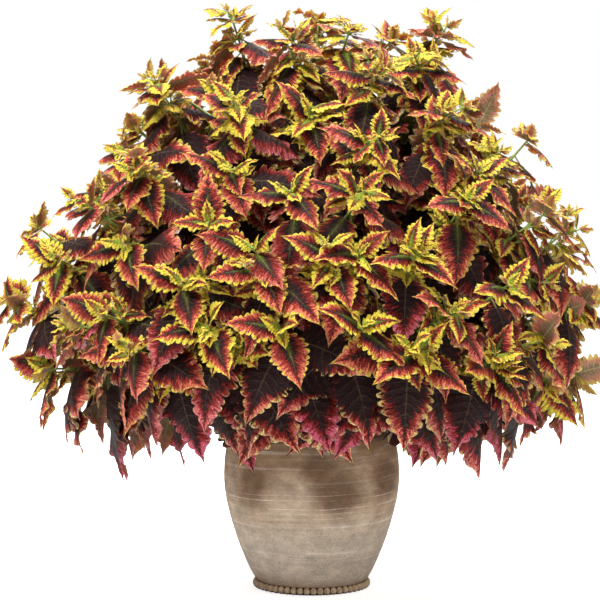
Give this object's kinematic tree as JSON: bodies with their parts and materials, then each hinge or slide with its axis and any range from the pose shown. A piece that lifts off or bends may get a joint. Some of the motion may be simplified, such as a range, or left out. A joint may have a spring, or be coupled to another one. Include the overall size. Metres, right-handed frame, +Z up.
{
  "type": "potted coleus",
  "caption": "Coleus in a round clay pot: a dense mound of forked square stems with opposite, toothed, drip-tipped leaves, rooted in soil; the pot has a beaded foot and a plain rim.",
  "frame": {"origin": "centre of the pot's flat base, on the surface it stands on", "axes": "+Z up along the pot's axis, -Y towards the plant's front, +X to the right seen from the front"},
  "size_m": [0.7435, 0.7271, 0.6887],
  "materials": {
    "clay": "unglazed weathered clay, matte, grey-brown with pale throwing lines",
    "potting_soil": "moist dark potting mix, fully rough",
    "foliage": "soft satin leaf, near-black maroon centre, coral zone and yellow toothed margin; lime-green stems"
  },
  "bodies": {
    "root": {"pot": "clay", "soil": "potting_soil", "leafy_stem_01": "foliage", "leafy_stem_02": "foliage", "leafy_stem_03": "foliage", "leafy_stem_04": "foliage", "leafy_stem_05": "foliage", "leafy_stem_06": "foliage", "leafy_stem_07": "foliage", "leafy_stem_08": "foliage", "leafy_stem_09": "foliage", "leafy_stem_10": "foliage", "leafy_stem_11": "foliage", "leafy_stem_12": "foliage", "leafy_stem_13": "foliage", "leafy_stem_14": "foliage", "leafy_stem_15": "foliage", "leafy_stem_16": "foliage", "leafy_stem_17": "foliage", "leafy_stem_18": "foliage", "leafy_stem_19": "foliage", "leafy_stem_20": "foliage", "leafy_stem_21": "foliage"}
  },
  "joints": []
}
